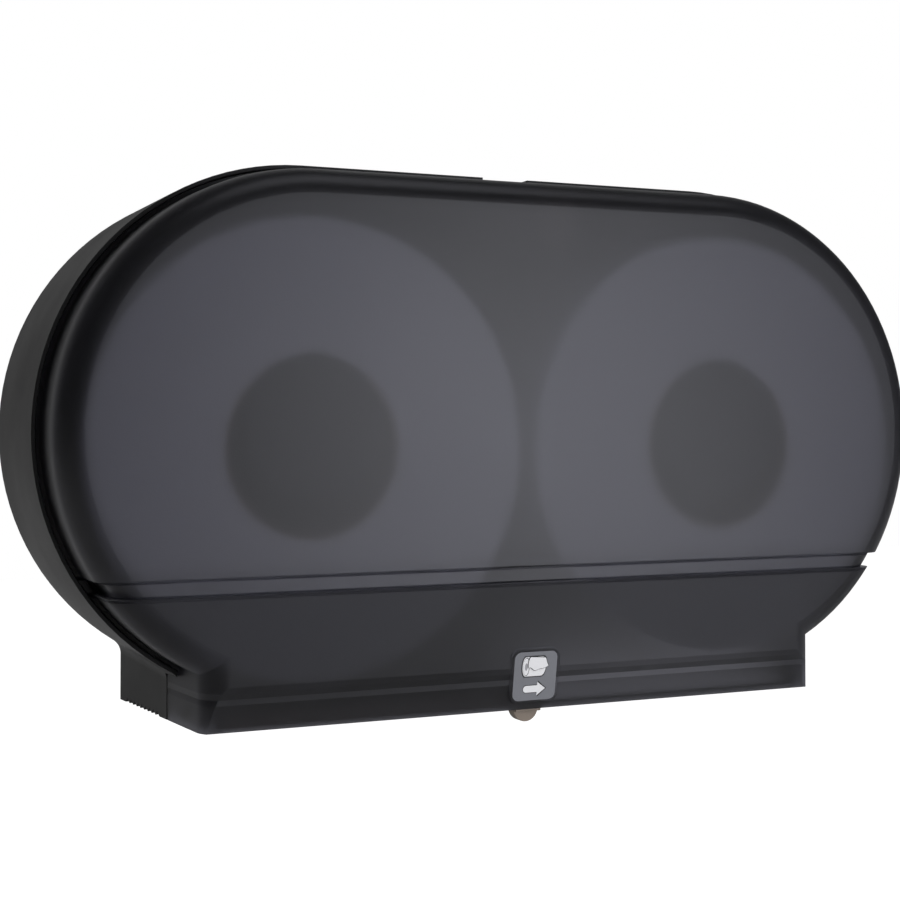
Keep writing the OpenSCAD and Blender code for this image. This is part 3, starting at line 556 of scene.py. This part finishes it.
def makeCardboard(p):
    mat, tree, shader, vector = startMaterial("coreCardboard")
    stretch = tree.nodes.new("ShaderNodeMapping")
    stretch.inputs["Scale"].default_value = p["stretch"]
    stretch.inputs["Rotation"].default_value = (0.0, p["lean"], 0.0)
    tree.links.new(vector, stretch.inputs["Vector"])
    fibre = noiseNode(tree, stretch.outputs[0], p["fibres"], 6.0, 0.75)
    fleck = noiseNode(tree, vector, p["flecks"], 4.0, 0.6)
    colour = mixColour(tree, fibre, rgba(p["dark"]), rgba(p["light"]))
    spots = mathNode(tree, "MULTIPLY", fleck, p["fleckShare"])
    spotted = mixColour(tree, spots, colour, rgba(p["fleck"]))
    tree.links.new(spotted, shader["Base Color"])
    tree.links.new(scaled(tree, fleck, p["fleckRough"], p["roughness"]), shader["Roughness"])
    tree.links.new(bumpNode(tree, fibre, p["bump"], p["depth"]), shader["Normal"])
    shader["Specular IOR Level"].default_value = p["specular"]
    return mat


finish["cardboard"] = makeCardboard(cardboard)

steel = {
    "dark": (0.50, 0.51, 0.53), "light": (0.68, 0.68, 0.67), "edge": 0.0002,
    "clouds": 320.0, "roughness": 0.22, "cloudRough": 0.25,
    "scratches": 1500.0, "bump": 0.15, "depth": 0.0001,
}


def makeSteel(p):
    mat, tree, shader, vector = startMaterial("zincSteel")
    edges = useGroup(tree, edgeWear, vector, Width=p["edge"])
    cloud = noiseNode(tree, vector, p["clouds"], 5.0, 0.65)
    scratch = noiseNode(tree, vector, p["scratches"], 2.0)
    tree.links.new(mixColour(tree, cloud, rgba(p["dark"]), rgba(p["light"])), shader["Base Color"])
    tree.links.new(scaled(tree, cloud, p["cloudRough"], p["roughness"]), shader["Roughness"])
    tree.links.new(bumpNode(tree, scratch, p["bump"], p["depth"], edges["Normal"]), shader["Normal"])
    shader["Metallic"].default_value = 1.0
    return mat


finish["steel"] = makeSteel(steel)

prints = {
    # name: colour, how much it varies, roughness
    "labelGrey": ((0.215, 0.22, 0.24), 0.06, 0.38),
    "inkWhite": ((0.95, 0.95, 0.96), 0.02, 0.42),
    "inkDark": ((0.012, 0.012, 0.014), 0.1, 0.42),
    "inkShade": ((0.42, 0.42, 0.44), 0.05, 0.42),
}
printSkin = {"peel": 2600.0, "bump": 0.12, "depth": 0.0001, "clouds": 110.0, "cloudRough": 0.15}


# screen-printed ink or vinyl with a fine orange peel
def makePrint(name, skin, colour, vary, roughness):
    mat, tree, shader, vector = startMaterial(name)
    peel = noiseNode(tree, vector, skin["peel"], 2.0)
    cloud = noiseNode(tree, vector, skin["clouds"], 4.0, 0.6)
    mixed = mixColour(tree, cloud, rgba(colour, 1 - vary), rgba(colour, 1 + vary))
    tree.links.new(mixed, shader["Base Color"])
    tree.links.new(scaled(tree, cloud, skin["cloudRough"], roughness), shader["Roughness"])
    tree.links.new(bumpNode(tree, peel, skin["bump"], skin["depth"]), shader["Normal"])
    return mat


for printName, look in prints.items():
    finish[printName] = makePrint(printName, printSkin, *look)
print("finishes mixed:", len(finish))

dress = {
    "caseBlack": ["back_shell"],
    "innerBlack": ["exit_frame", "latch_bracket", "spindle_left", "spindle_right",
                   "spindle_cap_left", "spindle_cap_right"],
    "smoke": ["front_cover"],
    "doorBeige": ["slide_door"],
    "latchBeige": ["latch_slide"],
    "labelGrey": ["instruction_label"],
    "steel": ["hinge_pin_left", "hinge_pin_right", "frame_screws", "latch_screws", "latch_spring",
              "spindle_screws_left", "spindle_screws_right"],
    "cardboard": ["roll_core_left", "roll_core_right"],
    "tissueLeft": ["paper_roll_left"],
    "tissueRight": ["paper_roll_right"],
}
for finishName, dressed in dress.items():
    for nodeName in dressed:
        nodes[nodeName].data.materials.clear()
        nodes[nodeName].data.materials.append(finish[finishName])
print("CAD nodes dressed:", sum(len(dressed) for dressed in dress.values()))


# a merged copy of the coil, hung on the case in place of the CAD spring
def makeLatchSpring():
    bm = bmesh.new()
    bm.from_mesh(nodes["latch_spring"].data)
    bmesh.ops.remove_doubles(bm, verts=bm.verts, dist=0.000001)
    mesh = bpy.data.meshes.new("latchSpringCoil")
    bm.to_mesh(mesh)
    bm.free()
    mesh.materials.append(finish["steel"])
    coil = bpy.data.objects.new("latchSpringCoil", mesh)
    scene.collection.objects.link(coil)
    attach(coil, "base")
    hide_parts("latch_spring")
    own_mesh(coil)


makeLatchSpring()
print("latch spring coiled")

labelArt = {
    "tilt": 9.0,        # degrees that the label leans
    "half": 0.0003,     # half the label's thickness
    "lift": 0.00004,    # the ink stands this far off the label
    "ink": 0.00005,     # and is this thick
    "layer": 0.000075,  # from one layer of ink to the next
}


# the matrix that carries a drawing in X and Y to the label's face
def labelPlane(art):
    low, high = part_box("instruction_label")
    middle = Vector(((low.x + high.x) / 2, (low.y + high.y) / 2, (low.z + high.z) / 2))
    turn = Matrix.Rotation(math.radians(90 + art["tilt"]), 4, "X")
    out = turn.to_3x3() @ Vector((0, 0, 1))
    return Matrix.Translation(middle + out * (art["half"] + art["lift"])) @ turn


# a flat ink shape from an outline in millimetres
def printShape(name, outline, material, layer, grow):
    bm = bmesh.new()
    face = bm.faces.new([bm.verts.new((x / 1000, y / 1000, 0)) for x, y in outline])
    bm.normal_update()
    if face.normal.z < 0:
        bmesh.ops.reverse_faces(bm, faces=bm.faces)
    if grow:
        middle = sum((v.co for v in bm.verts), Vector()) / len(bm.verts)
        reach = [max(abs(v.co[i] - middle[i]) for v in bm.verts) for i in (0, 1)]
        bmesh.ops.scale(bm, verts=bm.verts, space=Matrix.Translation(-middle),
                        vec=(1 + grow / 1000 / reach[0], 1 + grow / 1000 / reach[1], 1))
    made = bmesh.ops.extrude_face_region(bm, geom=bm.faces[:])
    top = [v for v in made["geom"] if isinstance(v, bmesh.types.BMVert)]
    bmesh.ops.translate(bm, verts=top, vec=(0, 0, labelArt["ink"]))
    bmesh.ops.translate(bm, verts=bm.verts, vec=(0, 0, layer * labelArt["layer"]))
    bmesh.ops.recalc_face_normals(bm, faces=bm.faces)
    bmesh.ops.transform(bm, matrix=labelPlane(labelArt), verts=bm.verts)
    mesh = bpy.data.meshes.new(name)
    bm.to_mesh(mesh)
    bm.free()
    mesh.materials.append(material)
    piece = bpy.data.objects.new(name, mesh)
    scene.collection.objects.link(piece)
    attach(piece, "cover")


def arc(cx, cy, rx, ry, start, end, steps=14):
    turns = [math.radians(start + (end - start) * i / steps) for i in range(steps + 1)]
    return [(cx + rx * math.cos(t), cy + ry * math.sin(t)) for t in turns]


# every third point is on the line, and the two between them pull it
def bend(points, steps=8):
    smooth = []
    for i in range(0, len(points) - 1, 3):
        a, b, c, d = (Vector(p) for p in points[i:i + 4])
        for k in range(steps):
            t = k / steps
            s = 1 - t
            spot = a * s ** 3 + b * 3 * t * s ** 2 + c * 3 * t * t * s + d * t ** 3
            smooth.append((spot.x, spot.y))
    return smooth


# a generic roll with its loose sheet over an arrow that says which way the door slides
rollBody = (arc(-5.6, 5.0, 1.9, 5.0, 90, 270) + arc(3.0, 4.2, 2.6, 4.2, -90, 0, 8)
            + [(5.6, 8.6)] + arc(3.6, 8.0, 2.0, 2.0, 20, 90, 6))
looseSheet = bend([(-3.2, 10.0), (-4.4, 8.8), (-4.6, 6.6), (-4.2, 4.4),
                   (-2.6, 5.8), (-1.6, 2.2), (0.4, 3.2), (2.4, 4.2), (4.4, 3.4), (7.0, 5.2),
                   (6.0, 6.2), (5.9, 8.4), (4.6, 10.0)])
arrowShape = arc(-4.6, -6.6, 1.75, 1.75, 90, 270) + [
    (1.5, -8.35), (1.5, -10.1), (6.1, -6.6), (1.5, -3.1), (1.5, -4.85)]
labelShapes = [
    # name, outline, ink, layer, grown by
    ("rollEdge", rollBody, "inkDark", 0, 0.5),
    ("rollPrint", rollBody, "inkWhite", 1, 0.0),
    ("rollEndEdge", arc(-5.3, 5.0, 1.75, 4.7, 0, 348, 29), "inkDark", 2, 0.0),
    ("rollEndPrint", arc(-5.45, 5.0, 1.6, 4.4, 0, 348, 29), "inkWhite", 3, 0.0),
    ("rollHole", arc(-5.45, 5.0, 0.75, 1.9, 0, 345, 23), "inkShade", 4, 0.0),
    ("sheetEdge", looseSheet, "inkDark", 5, 0.4),
    ("sheetPrint", looseSheet, "inkWhite", 6, 0.0),
    ("arrowEdge", arrowShape, "inkDark", 0, 0.65),
    ("arrowPrint", arrowShape, "inkWhite", 1, 0.0),
]
for name, outline, ink, layer, grow in labelShapes:
    printShape(name, outline, finish[ink], layer, grow)
print("label printed")
